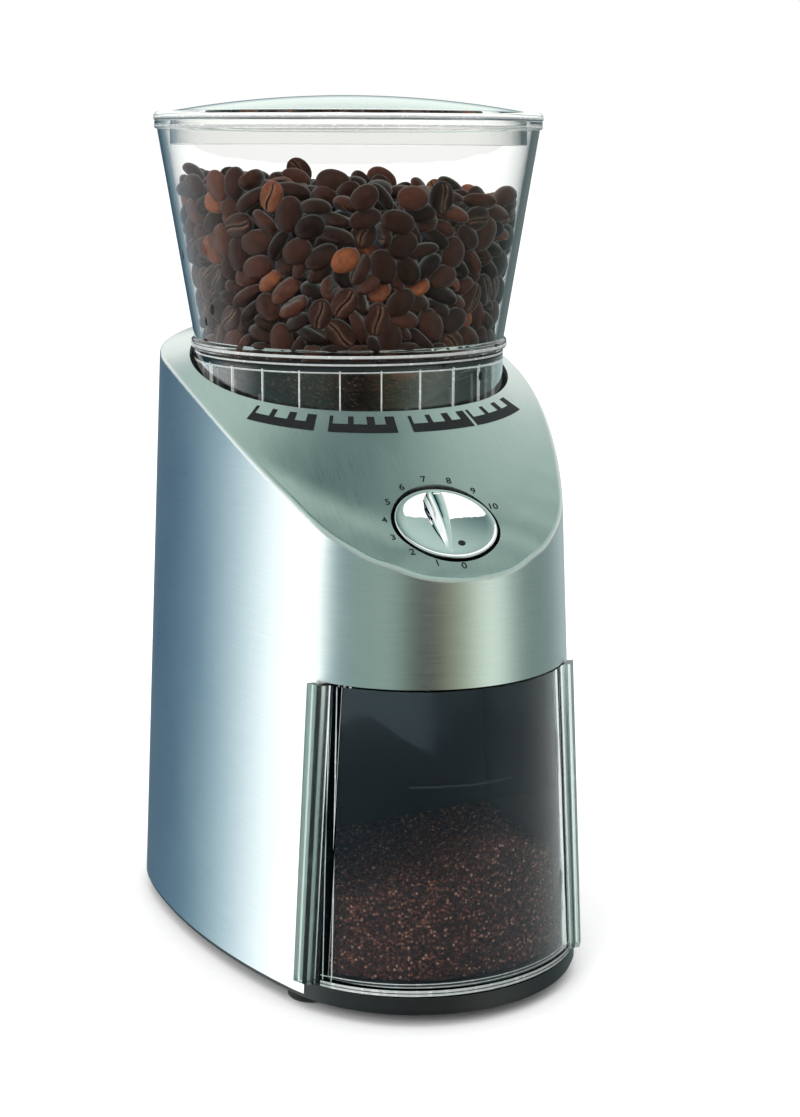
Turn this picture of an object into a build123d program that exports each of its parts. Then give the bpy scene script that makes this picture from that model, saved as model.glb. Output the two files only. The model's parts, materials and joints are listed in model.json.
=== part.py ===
from build123d import *
import math
import os

# Burr coffee grinder, millimetres. +Z is up, the front faces -Y, and the origin is the centre of
# the footprint on the surface that the grinder stands on.

# ---- driving dimensions ----
WIDTH = 133.0            # metal housing at its foot
DEPTH = 197.0
HEIGHT = 267.0           # top of the lid's dome
NOSE_RADIUS = 50.4       # plan radius of the rounded front
DRAFT = 2.63             # degrees that the housing leans in on the way up
FOOT_HEIGHT = 3.5        # gap under the base
METAL_BOTTOM = 5.0       # lower edge of the metal housing
DECK_Z = 9.0             # top of the base, where the grounds container stands
WALL = 2.4               # die-cast housing wall
CREST_Z = 189.0          # the sloped top at the back edge
TOP_ARC_RADIUS = 350.0   # side-view arc of the sloped top
DOME_RISE = 18.0         # how far the sloped top swells around the hopper
DOME_HALF_LENGTH = 90.0
DOME_HALF_WIDTH = 61.0
AXIS_Y = 17.0            # hopper and burr axis
HOPPER_HOLE_R = 52.0
COLLAR_R = 50.2          # hopper collar that drops into the housing
RING_Z = 188.8           # bead where the hopper meets the housing
RIM_R = 62.0             # hopper rim and lid
RIM_Z = 259.0
KNOB_Y = -73.0
KNOB_R = 15.5
CONTAINER_TOP = 99.8
BAY_FRONT_Y = -73.0      # where the housing wall stops for the container
BAY_BACK_Y = -17.0       # inner face of the bay's back wall
GRIP_PROUD = 2.1         # side ribs of the container, to pull it out by
GRIP_FRONT_Y = -76.5
GRIP_BACK_Y = -71.8
MOTOR_Y = 50.0
FIT = 0.05               # radial clearance of a running fit
GAP = 0.3                # clearance between loose curved neighbours

# ---- plan outline: rear half circle, long side arcs and a rounded nose, all tangent ----
HALF = WIDTH / 2
BACK_Y = DEPTH / 2
REAR_Y = BACK_Y - HALF
NOSE_Y = -BACK_Y + NOSE_RADIUS
SPAN = REAR_Y - NOSE_Y
SIDE_RADIUS = (SPAN**2 + HALF**2 - NOSE_RADIUS**2) / (2 * (HALF - NOSE_RADIUS))
SIDE_TURN = math.degrees(math.atan2(SPAN, SIDE_RADIUS - HALF))
SLOPE = math.tan(math.radians(DRAFT))
FAR = 400.0


def egg_face(inset, z):
    """The plan outline, moved in by inset, at height z."""
    reach = SIDE_RADIUS - HALF
    rear = CenterArc((0, REAR_Y), HALF - inset, 0, 180)
    left = CenterArc((reach, REAR_Y), SIDE_RADIUS - inset, 180, SIDE_TURN)
    nose = CenterArc((0, NOSE_Y), NOSE_RADIUS - inset, 180 + SIDE_TURN, 180 - 2 * SIDE_TURN)
    right = CenterArc((-reach, REAR_Y), SIDE_RADIUS - inset, -SIDE_TURN, SIDE_TURN)
    return Pos(0, 0, z) * make_face(rear + left + nose + right)


def egg(inset, low, high):
    """A slab of the drafted body between two heights, inset from the housing's outer face."""
    at_low = inset + (low - METAL_BOTTOM) * SLOPE
    at_high = inset + (high - METAL_BOTTOM) * SLOPE
    return loft([egg_face(at_low, low), egg_face(at_high, high)], ruled=True)


def top_height(x, y):
    """Height of the sloped top: an arc from back to front, swollen around the hopper."""
    arc = CREST_Z - TOP_ARC_RADIUS + math.sqrt(TOP_ARC_RADIUS**2 - (y - BACK_Y) ** 2)
    reach = (x / DOME_HALF_WIDTH) ** 2 + ((y - AXIS_Y) / DOME_HALF_LENGTH) ** 2
    return arc + DOME_RISE * max(0.0, 1 - reach) ** 1.5


def above_top(drop):
    """Everything higher than the sloped top, or than a face drop below it."""
    across = [HALF * 1.2 * (i / 10 - 1) for i in range(21)]
    along = [BACK_Y * 1.1 * (j / 14 - 1) for j in range(29)]
    grid = [[Vector(x, y, top_height(x, y) - drop) for x in across] for y in along]
    skin = Face.make_surface_from_array_of_points(grid)
    return extrude(skin, amount=130, dir=(0, 0, 1))


def block(x0, x1, y0, y1, z0, z1):
    """A box between opposite corners."""
    middle = Pos((x0 + x1) / 2, (y0 + y1) / 2, (z0 + z1) / 2)
    return middle * Box(x1 - x0, y1 - y0, z1 - z0)


def rod(x, y, r, z0, z1):
    """An upright cylinder."""
    return Pos(x, y, (z0 + z1) / 2) * Cylinder(r, z1 - z0)


def tube(x, y, outer, inner, z0, z1):
    """An upright tube."""
    return rod(x, y, outer, z0, z1) - rod(x, y, inner, z0 - 1, z1 + 1)


def turned(points, x=0.0, y=AXIS_Y):
    """A body of revolution about an upright axis, from its (radius, height) outline."""
    outline = Polyline(*points, close=True)
    return Pos(x, y, 0) * revolve(Plane.XZ * make_face(outline), Axis.Z)


def pour(solids):
    """Several solids kept apart in one node."""
    return Compound(children=[s for part in solids for s in part.solids()])


def save(name, shape):
    export_step(shape, f"parts/{name}.step")


# ---- places worked out from the sizes above ----
KNOB_Z = top_height(0, KNOB_Y)
KNOB_TILT = math.degrees(math.atan((top_height(0, KNOB_Y + 1) - top_height(0, KNOB_Y - 1)) / 2))
KNOB_FRAME = Pos(0, KNOB_Y, KNOB_Z) * Rot(KNOB_TILT, 0, 0)
BOSSES = [(53.0, -25.0), (-53.0, -25.0), (52.4, 62.0), (-52.4, 62.0)]
PILLARS = [(36.0, 0.0), (-36.0, 0.0), (-20.0, 52.0)]
FEET = [(-38.0, -63.0), (38.0, -63.0), (-40.0, 68.0), (40.0, 68.0)]
MOTOR_SCREWS = [(-8.0, MOTOR_Y + 16.5), (8.0, MOTOR_Y + 16.5)]
SWITCH_Y = AXIS_Y + 49
SCREW_R = 1.5


def hull_plate(circles, z0, z1):
    """A plate whose outline is the hull of circles given as (x, y, r)."""
    edges = [(Pos(x, y) * Circle(r)).edges() for x, y, r in circles]
    outline = make_hull([e for group in edges for e in group])
    return Pos(0, 0, z0) * extrude(outline, z1 - z0)


# ---- casing ----
def housing_shell():
    shell = egg(0, METAL_BOTTOM, 215) - above_top(0)
    top_edges = [e for e in shell.edges() if e.center().Z > 120 and e.length > 5]
    shell = fillet(top_edges, 1.6)
    shell = shell - (egg(WALL, METAL_BOTTOM - 2, 213) - above_top(2.6))
    shell += pour(rod(x, y, 4, DECK_Z + GAP, 45) & egg(1.0, 5, 60) for x, y in BOSSES)
    shell -= pour(rod(x, y, 1.42, 5, 28) for x, y in BOSSES)
    shell -= rod(0, AXIS_Y, HOPPER_HOLE_R, 140, 240)
    shell -= KNOB_FRAME * Cylinder(KNOB_R + 0.7, 12)
    shell -= block(-HALF, HALF, -FAR, BAY_FRONT_Y, 0, CONTAINER_TOP + 0.6)
    shell -= Pos(0, BACK_Y, 20) * Rot(90, 0, 0) * Cylinder(6.2, 20)
    return shell


def base_plate():
    lip = egg(0.7, FOOT_HEIGHT, METAL_BOTTOM)
    deck = egg(WALL + 0.2, METAL_BOTTOM, DECK_Z)
    front = egg(0, METAL_BOTTOM, DECK_Z) & block(-HALF, HALF, -FAR, BAY_FRONT_Y - GAP, 0, 20)
    plate = lip + deck + front
    plate -= egg(7, 6, 12) & block(-HALF, HALF, -12, FAR, 6, 12)
    plate += tube(0, MOTOR_Y, 31.4, 29.4, 5.5, 16)
    plate += pour(rod(x, y, 6, 5, DECK_Z) & egg(2.6, 5, DECK_Z) for x, y in BOSSES)
    for y in (16, 54):
        rail = block(-50, -43, y, y + 4, 5.5, 16) - block(-47.1, -45.3, y - 1, y + 5, 10, 17)
        plate += rail
    for x, y in BOSSES:
        plate -= rod(x, y, 1.8, 0, 12)
        plate -= rod(x, y, 3.3, 0, 5.5)
    for x, y in FEET:
        plate -= rod(x, y, 7.6, 0, FOOT_HEIGHT + 0.6)
    return plate


def feet():
    pads = []
    for x, y in FEET:
        pad = rod(x, y, 7.5, 0, FOOT_HEIGHT + 0.6)
        pads.append(chamfer(pad.edges().filter_by(GeomType.CIRCLE).group_by(Axis.Z)[0], 0.6))
    return pour(pads)


def base_screws():
    screws = []
    for x, y in BOSSES:
        screw = rod(x, y, 3.0, 3.9, 5.5) + rod(x, y, 1.4, 5.5, 22)
        slot = block(x - 2.2, x + 2.2, y - 0.4, y + 0.4, 3.5, 4.6)
        cross = block(x - 0.4, x + 0.4, y - 2.2, y + 2.2, 3.5, 4.6)
        screws.append(screw - slot - cross)
    return pour(screws)


def leaning_box(half_low, half_high, y0, y1, z0, z1):
    """A box whose two sides lean in towards the top, as the housing does."""
    low = Pos(0, (y0 + y1) / 2, z0) * Rectangle(2 * half_low, y1 - y0)
    high = Pos(0, (y0 + y1) / 2, z1) * Rectangle(2 * half_high, y1 - y0)
    return loft([low, high], ruled=True)


def bay_half(z, extra):
    """Half width of the grounds container's body at height z, plus a margin."""
    return 39.3 - (z - DECK_Z) * 0.053 + extra


def bay_liner():
    roof_z = CONTAINER_TOP + 1.7
    high = roof_z + 2.5
    outer = leaning_box(bay_half(DECK_Z, 2.6), bay_half(high, 2.6), -95, BAY_BACK_Y + 2, DECK_Z, high)
    inner = leaning_box(bay_half(5, 1), bay_half(roof_z, 1), -110, BAY_BACK_Y, 5, roof_z)
    liner = (outer - inner) & egg(WALL + 0.5, 5, 120)
    return liner - block(-13.2, 13.2, -40.5, -18.2, 90, 120)


def cord_gland():
    sleeve = Pos(0, 93.4, 20) * Rot(90, 0, 0) * Cylinder(6.0, 8.0)
    flange = Pos(0, 91.0, 20) * Rot(90, 0, 0) * Cylinder(8.6, 3.2)
    return sleeve + flange - Pos(0, 93, 20) * Rot(90, 0, 0) * Cylinder(3.7, 30)


# ---- grounds container ----
def grounds_container():
    low, high = DECK_Z + 0.1, CONTAINER_TOP
    wall = 2.2
    rear = BAY_BACK_Y - 2
    tub = leaning_box(bay_half(low, 0), bay_half(high, 0), -105, rear, low, high) & egg(0, 5, 110)
    hollow = leaning_box(bay_half(11, -2), bay_half(102, -2), -106, rear - 2, low + 2.2, 102)
    shield = egg(0, low, high) - egg(wall, low - 1, high + 1)
    shield_end = BAY_FRONT_Y - GAP
    shield &= block(-HALF, HALF, -FAR, shield_end, 0, 120)
    proud = egg(-GRIP_PROUD, low, high)
    grip = (proud - egg(wall, low - 1, high + 1)) & block(-HALF, HALF, GRIP_FRONT_Y, shield_end, 0, 120)
    lip = (proud - egg(-GAP, low - 1, high + 1)) & block(-HALF, HALF, shield_end - 1, GRIP_BACK_Y, 0, 120)
    return tub - (hollow & egg(wall, 5, 110)) + shield + grip + lip


def outlet_chute():
    duct = block(-12.5, 12.5, -40, -18.7, 100, 131) - block(-10.5, 10.5, -38, -20.7, 90, 129)
    flange = block(-16, 16, -43.5, -15.5, 104, 105.5) - block(-12, 12, -39.5, -19, 100, 110)
    duct = duct + flange - block(-9.2, 9.2, -25, -10, 114.3, 128.8)
    return duct - rod(0, AXIS_Y, 36.2, 106, 140)


# ---- motor and gears ----
def motor_can():
    can = tube(0, MOTOR_Y, 29, 27.5, 18, 88) + tube(0, MOTOR_Y, 28, 7, 86, 88)
    vents = PolarLocations(28, 6)
    can -= Pos(0, MOTOR_Y, 26) * pour(place * Box(8, 7, 6) for place in vents)
    return can - pour(rod(x, y, SCREW_R + 0.02, 80, 90) for x, y in MOTOR_SCREWS)


def motor_end_cap():
    cap = rod(0, MOTOR_Y, 28.9, 11, 18) + tube(0, MOTOR_Y, 27.4, 25, 18, 22)
    brushes = block(-16, -8.6, MOTOR_Y - 3, MOTOR_Y + 3, 18, 25)
    brushes += block(8.6, 16, MOTOR_Y - 3, MOTOR_Y + 3, 18, 25)
    return cap + brushes - rod(0, MOTOR_Y, 2 + FIT, 13, 19)


def motor_magnets():
    ring = tube(0, MOTOR_Y, 27.3, 20, 32, 76)
    return ring - block(-7, 7, MOTOR_Y - 40, MOTOR_Y + 40, 20, 90)


def motor_rotor():
    core = tube(0, MOTOR_Y, 19, 1.9, 34, 74)
    slots = pour(place * Box(9, 2, 50) for place in PolarLocations(16, 12))
    core -= Pos(0, MOTOR_Y, 54) * slots
    return core + rod(0, MOTOR_Y, 2, 14, 101) + rod(0, MOTOR_Y, 8, 19, 27)


def motor_cushion():
    return tube(0, MOTOR_Y, 27, 8, 6, 11)


def motor_plate():
    circles = [(0, AXIS_Y, 30.5), (*IDLER, 26), (0, MOTOR_Y, 30)]
    circles += [(x, y, 6) for x, y in PILLARS]
    plate = hull_plate(circles, 88, 92)
    plate -= rod(0, MOTOR_Y, 8, 80, 100)
    plate -= rod(0, AXIS_Y, 6.02, 80, 100)
    plate -= rod(*IDLER, 2.52, 80, 100)
    plate -= pour(rod(x, y, SCREW_R + 0.02, 80, 100) for x, y in PILLARS + MOTOR_SCREWS)
    return plate


def motor_screws():
    return pour(rod(x, y, SCREW_R, 84, 92) + rod(x, y, 3, 92, 94) for x, y in MOTOR_SCREWS)


# Spur gears, module 1, 25 degree stub teeth. The idler's place follows from the two centre distances.
PINION_TEETH, IDLER_BIG, IDLER_SMALL, OUTPUT_TEETH = 12, 40, 16, 48
MESH_1 = (PINION_TEETH + IDLER_BIG) / 2
MESH_2 = (IDLER_SMALL + OUTPUT_TEETH) / 2
SHAFT_SPAN = MOTOR_Y - AXIS_Y
IDLER_UP = (MESH_2**2 - MESH_1**2 + SHAFT_SPAN**2) / (2 * SHAFT_SPAN)
IDLER = (math.sqrt(MESH_2**2 - IDLER_UP**2), AXIS_Y + IDLER_UP)
TO_MOTOR = math.degrees(math.atan2(MOTOR_Y - IDLER[1], -IDLER[0]))
TO_OUTPUT = math.degrees(math.atan2(AXIS_Y - IDLER[1], -IDLER[0]))


def gear(teeth, place, face_from, face_to, first_tooth):
    """A spur gear with one tooth centred on the direction first_tooth, in degrees."""
    pitch_r, pressure = teeth / 2, math.radians(25)
    base_r, tip_r, root_r = pitch_r * math.cos(pressure), pitch_r + 0.8, pitch_r - 1.05
    half_tooth = math.pi / (2 * teeth) - 0.14 / pitch_r
    roll = math.tan(pressure) - pressure

    def flank(r):
        """Half of the tooth's angle at radius r, on the involute."""
        angle = math.acos(min(1.0, base_r / max(r, base_r)))
        return half_tooth + roll - (math.tan(angle) - angle)

    radii = [root_r] + [root_r + (tip_r - root_r) * k / 4 for k in range(1, 5)]
    points = []
    for tooth in range(teeth):
        middle = math.radians(first_tooth) + 2 * math.pi * tooth / teeth
        for side, order in ((-1, radii), (1, radii[::-1])):
            for r in order:
                angle = middle + side * flank(r)
                points.append((r * math.cos(angle), r * math.sin(angle)))
    wheel = extrude(make_face(Polyline(*points, close=True)), face_to - face_from)
    return Pos(place[0], place[1], face_from) * wheel


def motor_pinion():
    wheel = gear(PINION_TEETH, (0, MOTOR_Y), 93, 101, TO_MOTOR + 180 + 180 / PINION_TEETH)
    return wheel - rod(0, MOTOR_Y, 2.02, 90, 105)


def intermediate_gear():
    big = gear(IDLER_BIG, IDLER, 93.5, 100.5, TO_MOTOR)
    small = gear(IDLER_SMALL, IDLER, 100.5, 107.4, TO_OUTPUT)
    web = tube(*IDLER, 17, 10, 98, 101)
    return big + small - web - rod(*IDLER, 2.5 + FIT, 90, 110)


def intermediate_axle():
    return rod(*IDLER, 2.5, 88, 109.6)


def output_gear():
    wheel = gear(OUTPUT_TEETH, (0, AXIS_Y), 101.6, 107.4, TO_OUTPUT + 180 + 180 / OUTPUT_TEETH)
    wheel -= pour(Pos(0, AXIS_Y, 104) * place * Cylinder(3.5, 10) for place in PolarLocations(14, 6))
    return wheel + rod(0, AXIS_Y, 7, 98, 101.6) - rod(0, AXIS_Y, 4.0, 90, 115)


def gear_case():
    circles = [(0, AXIS_Y, 28.5), (IDLER[0], IDLER[1], 24), (0, MOTOR_Y, 9.5)]
    inner = [(x, y, r - 2) for x, y, r in circles]
    case = hull_plate(circles, 92, 110) - hull_plate(inner, 91, 108)
    case -= rod(0, AXIS_Y, 8.3, 100, 115)
    return case - rod(*IDLER, 2.52, 100, 115)


def drive_shaft():
    return rod(0, AXIS_Y, 4 - FIT, 89, 101.6) + rod(0, AXIS_Y, 3.95, 101.6, 148)


def lower_shaft_bush():
    return tube(0, AXIS_Y, 6, 4, 88, 92)


def upper_shaft_bearing():
    return tube(0, AXIS_Y, 8, 4, 109.6, 114)


def gearbox_pillars():
    return pour(tube(x, y, 4, SCREW_R + 0.1, 92, 110) for x, y in PILLARS)


# ---- grinding mechanism ----
def grinding_chamber():
    cup = rod(0, AXIS_Y, 36, 110, 146)
    cup += pour(rod(x, y, 4.5, 110, 114) for x, y in PILLARS)
    cup += block(-9, 9, -24, -10, 114.5, 128.5)
    cup -= rod(0, AXIS_Y, 33, 114, 150)
    cup -= block(-7.5, 7.5, -30, -5, 116, 127)
    cup -= rod(0, AXIS_Y, 8.02, 100, 120)
    return cup - pour(rod(x, y, SCREW_R + 0.1, 100, 120) for x, y in PILLARS)


def chamber_screws():
    return pour(rod(x, y, SCREW_R - 0.02, 88.4, 114) + rod(x, y, 3, 114, 116.4) for x, y in PILLARS)


def chamber_cover():
    cover = tube(0, AXIS_Y, 36, 27.2, 146, 149)
    legs = Pos(0, AXIS_Y, 153.5) * pour(p * Cylinder(4, 9) for p in PolarLocations(31.6, 3, 30))
    return cover + legs


def ground_paddle():
    disc = tube(0, AXIS_Y, 31.5, 3.95, 115.4, 117.4)
    vanes = Pos(0, AXIS_Y, 120) * pour(p * Box(10, 2.5, 6) for p in PolarLocations(26, 4))
    return disc + vanes


CONE_LOW, CONE_HIGH, CONE_TAPER = 124.0, 148.0, 0.358


def cone_burr():
    base_r = 17.3
    tip_r = base_r - CONE_TAPER * (CONE_HIGH - CONE_LOW)
    profile = [(3.95, 117.4), (9, 117.4), (9, CONE_LOW), (base_r, CONE_LOW)]
    profile += [(tip_r, CONE_HIGH), (3.95, CONE_HIGH)]
    cone = turned(profile)
    for place in PolarLocations(14.5, 20):
        cone -= Pos(0, AXIS_Y, 134) * place * Rot(28, -19.7, 0) * Box(2.2, 1.6, 40)
    return cone


def burr_bolt():
    head = Pos(0, AXIS_Y, CONE_HIGH) * extrude(RegularPolygon(6, 6), 4)
    return head


def ring_burr():
    ring = turned([(16.9, 127), (26, 127), (26, 142), (19.4, 142)])
    for place in PolarLocations(18.6, 24):
        ring -= Pos(0, AXIS_Y, 136) * place * Rot(-24, 9.4, 0) * Box(1.8, 1.4, 30)
    return ring


def burr_carrier():
    cup = turned([(20.6, 142), (26.05, 142), (26.05, 127), (29.5, 127), (29.5, 145), (24.3, 145),
                  (24.3, 157), (22, 157), (22, 145), (20.6, 143.6)])
    return cup - pour(Pos(0, AXIS_Y, 143) * p * Cylinder(1.2, 10) for p in PolarLocations(23.6, 3, 90))


def ring_burr_screws():
    places = PolarLocations(23.6, 3, 90)
    return pour(Pos(0, AXIS_Y, 143.6) * p * Cylinder(1.15, 3.0) for p in places)


def adjusting_ring():
    ring = turned([(22.3, 161), (24.6, 159), (24.6, 147.5), (26.8, 147.5), (26.8, 161), (46.8, 161),
                   (46.8, 163.4), (22.3, 163.4)])
    dogs = Pos(0, AXIS_Y, 164.9) * pour(p * Box(6, 4, 3) for p in PolarLocations(38, 4, 45))
    return ring + dogs


def hopper_seat():
    wall = tube(0, AXIS_Y, 53.7, 51.7, 158, 205) - above_top(3.0)
    floor = tube(0, AXIS_Y, 53.7, 27.3, 158, 160.5)
    tab = block(-10, 10, 72.1, 74.5, 138, 159) + block(-10, 10, 66, 74.5, 157, 159)
    seat = wall + floor + (tab & rod(0, AXIS_Y, 60, 130, 170))
    return seat - rod(0, SWITCH_Y, 2 + 0.08, 150, 165)


# ---- hopper ----
def hopper():
    outside = [(21.5, 150.5), (21.5, 167), (47.9, 184), (47.9, 162), (COLLAR_R, 162),
               (COLLAR_R, RING_Z - 1.6), (51.3, RING_Z - 1), (51.3, RING_Z + 1.2), (50.4, RING_Z + 2)]
    rim = [(61.0, RIM_Z - 2.6), (61.8, RIM_Z - 2.4), (61.8, RIM_Z), (58.9, RIM_Z), (58.6, RIM_Z - 3)]
    inside = [(48.1, RING_Z + 2), (47.0, RING_Z - 1), (19.5, 168.4), (19.5, 150.5)]
    bowl = turned(outside + rim + inside)
    slots = pour(p * Box(10, 5, 6) for p in PolarLocations(50, 4, 45))
    return bowl - Pos(0, AXIS_Y, 162) * slots


def hopper_lid():
    dome_r, inner_r = 58.0, 55.2
    edge_z = RIM_Z + 2.6
    rise = HEIGHT - edge_z
    cap_r = (dome_r**2 + rise**2) / (2 * rise)
    centre_z = HEIGHT - cap_r

    def dome(r, thick):
        return (r, centre_z + math.sqrt(cap_r**2 - r**2) - thick)

    top = ThreePointArc(dome(0, 0), dome(dome_r / 2, 0), dome(dome_r, 0))
    under = ThreePointArc(dome(inner_r, 2), dome(inner_r / 2, 2), dome(0, 2))
    rim = Polyline(dome(dome_r, 0), (RIM_R - 0.8, edge_z), (RIM_R, edge_z - 0.8), (RIM_R, RIM_Z + 0.1),
                   (57.0, RIM_Z + 0.1), (57.0, RIM_Z - 7.4), (inner_r, RIM_Z - 7.4), dome(inner_r, 2))
    half = make_face(top + rim + under + Line(dome(0, 2), dome(0, 0)))
    return Pos(0, AXIS_Y, 0) * revolve(Plane.XZ * half, Axis.Z)


# ---- timer ----
def timer_knob():
    disc = Cylinder(KNOB_R, 2.4)
    disc = Pos(0, 0, 0.6) * chamfer(disc.edges().group_by(Axis.Z)[-1], 0.9)
    hub = Pos(0, 0, -2.2) * Cylinder(6, 3.4)
    wedge = Polyline((-0.9, -13), (0.9, -13), (3.4, 14), (-3.4, 14), close=True)
    grip = Pos(0, 0, 1.6) * extrude(make_face(wedge), 5.5, taper=14)
    return KNOB_FRAME * (disc + hub + grip - Pos(0, 0, -4) * Cylinder(3.02, 8))


def timer_shaft():
    return KNOB_FRAME * Pos(0, 0, -7.2) * Cylinder(3, 14.4)


def knob_well():
    cup = Pos(0, 0, -5.9) * Cylinder(18.6, 5.2) - Pos(0, 0, -4.9) * Cylinder(KNOB_R + 1.1, 4.4)
    return KNOB_FRAME * (cup - Pos(0, 0, -8) * Cylinder(5.05, 8))


def timer_body():
    case = Pos(0, 0, -20.5) * Box(34, 34, 24)
    case = fillet(case.edges().filter_by(Axis.Z), 4)
    neck = Pos(0, 0, -6.7) * Cylinder(5, 4)
    return KNOB_FRAME * (case + neck - Pos(0, 0, -10) * Cylinder(3 + FIT, 11))


def timer_nut():
    nut = Pos(0, 0, -7.1) * extrude(RegularPolygon(7.6, 6), 1.8)
    return KNOB_FRAME * (nut - Pos(0, 0, -6) * Cylinder(5.02, 6))


# ---- safety switch under the hopper ----


def interlock_switch():
    case = block(-10, 10, 60, 72.1, 138, 150)
    return case - rod(0, SWITCH_Y, 2.1, 143, 151)


def interlock_plunger():
    return rod(0, SWITCH_Y, 2, 146, 161.6) + rod(0, SWITCH_Y, 3.6, 155, 156)


def interlock_spring():
    path = Helix(pitch=1.5, height=4.2, radius=2.9)
    section = Plane(origin=path @ 0, z_dir=path % 0) * Circle(0.25)
    return Pos(0, SWITCH_Y, 150.4) * sweep(section, path)


# ---- electrics ----
def control_board():
    return block(-47, -45.4, 12, 62, 10, 82)


def board_components():
    capacitor = Pos(-41.4, 28, 40) * Rot(0, 90, 0) * Cylinder(7, 8)
    rectifier = block(-45.4, -41, 42, 58, 30, 46)
    relay = block(-45.4, -37, 42, 56, 58, 74)
    return pour([capacitor, rectifier, relay])


NODES = [
    housing_shell, base_plate, feet, base_screws, bay_liner, cord_gland,
    grounds_container, outlet_chute,
    motor_can, motor_end_cap, motor_magnets, motor_rotor, motor_cushion, motor_plate, motor_screws,
    motor_pinion, intermediate_gear, intermediate_axle, output_gear, gear_case, drive_shaft,
    lower_shaft_bush, upper_shaft_bearing, gearbox_pillars,
    grinding_chamber, chamber_screws, chamber_cover, ground_paddle, cone_burr, burr_bolt, ring_burr,
    burr_carrier, ring_burr_screws, adjusting_ring, hopper_seat, hopper, hopper_lid,
    timer_knob, timer_shaft, knob_well, timer_body, timer_nut,
    interlock_switch, interlock_plunger, interlock_spring, control_board, board_components,
]

if __name__ == "__main__":
    os.makedirs("parts", exist_ok=True)
    for make in NODES:
        save(make.__name__, make())
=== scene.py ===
import json
import math

import bmesh
import bpy
import numpy as np
from mathutils import Matrix, Vector
from mathutils.bvhtree import BVHTree


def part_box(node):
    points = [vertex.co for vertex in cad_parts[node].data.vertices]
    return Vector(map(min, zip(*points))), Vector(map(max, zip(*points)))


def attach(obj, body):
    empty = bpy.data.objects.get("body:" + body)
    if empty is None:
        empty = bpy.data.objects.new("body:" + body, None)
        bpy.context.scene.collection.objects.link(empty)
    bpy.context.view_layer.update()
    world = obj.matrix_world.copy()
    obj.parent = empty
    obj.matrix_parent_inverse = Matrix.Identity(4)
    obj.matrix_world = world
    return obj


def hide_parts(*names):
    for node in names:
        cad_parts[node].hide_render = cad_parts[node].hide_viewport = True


# Burr coffee grinder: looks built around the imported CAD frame. Shapes are worked out in millimetres
# in the frame's axes (+Z up, front towards -Y) and become metres when a mesh is made.

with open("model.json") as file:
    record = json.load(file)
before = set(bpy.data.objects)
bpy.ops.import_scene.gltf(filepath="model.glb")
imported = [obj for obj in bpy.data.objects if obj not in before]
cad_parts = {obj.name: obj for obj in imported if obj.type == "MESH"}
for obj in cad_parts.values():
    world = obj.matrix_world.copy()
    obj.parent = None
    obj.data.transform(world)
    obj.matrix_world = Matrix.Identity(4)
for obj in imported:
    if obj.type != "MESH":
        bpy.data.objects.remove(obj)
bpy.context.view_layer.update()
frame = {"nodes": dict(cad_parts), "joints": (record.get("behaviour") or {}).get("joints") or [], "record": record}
NODES = frame["nodes"]
MM = 0.001
SEED = 11


def corners(node):
    """Lowest and highest corner of a CAD node, in mm."""
    low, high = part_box(node)
    return np.array(low) / MM, np.array(high) / MM


# ---- places taken from the frame ----
HOPPER_LOW, HOPPER_HIGH = corners("hopper")
LID_LOW, LID_HIGH = corners("hopper_lid")
SHELL_LOW, _ = corners("housing_shell")
TUB_LOW, TUB_HIGH = corners("grounds_container")
AXIS_Y = (HOPPER_LOW[1] + HOPPER_HIGH[1]) / 2
FRONT_Y = SHELL_LOW[1]
RIM_R = (LID_HIGH[0] - LID_LOW[0]) / 2
RIM_Z = HOPPER_HIGH[2]
TOP_Z = LID_HIGH[2]
COLLAR_R = 50.2
RING_Z = 188.8
AXIS = np.array([0.0, AXIS_Y, 0.0])


def into_scene(obj):
    bpy.context.scene.collection.objects.link(obj)


# ---- making meshes ----
def piece(name, points, faces, body, material, smooth_angle=35):
    """A mesh piece that rides on a CAD body, from points in mm."""
    mesh = bpy.data.meshes.new(name)
    mesh.from_pydata([tuple(p) for p in np.asarray(points, float) * MM], [], faces)
    mesh.validate()
    mesh.polygons.foreach_set("use_smooth", [True] * len(mesh.polygons))
    if smooth_angle:
        mesh.set_sharp_from_angle(angle=math.radians(smooth_angle))
    mesh.materials.append(material)
    obj = bpy.data.objects.new(name, mesh)
    into_scene(obj)
    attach(obj, body)
    return obj


def face_outward(obj):
    """Turns all faces of a closed piece outward."""
    bm = bmesh.new()
    bm.from_mesh(obj.data)
    bmesh.ops.recalc_face_normals(bm, faces=bm.faces)
    bm.to_mesh(obj.data)
    bm.free()
    return obj


def smooth_along(obj):
    """Takes the small kinks out of a shape drawn from a few stations."""
    ease = obj.modifiers.new("ease", "SMOOTH")
    ease.factor = 0.5
    ease.iterations = 3
    return obj


def even_shading(obj):
    """Flat areas keep flat shading beside their small fillets."""
    weigh = obj.modifiers.new("even_shading", "WEIGHTED_NORMAL")
    weigh.keep_sharp = True
    return obj


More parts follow.
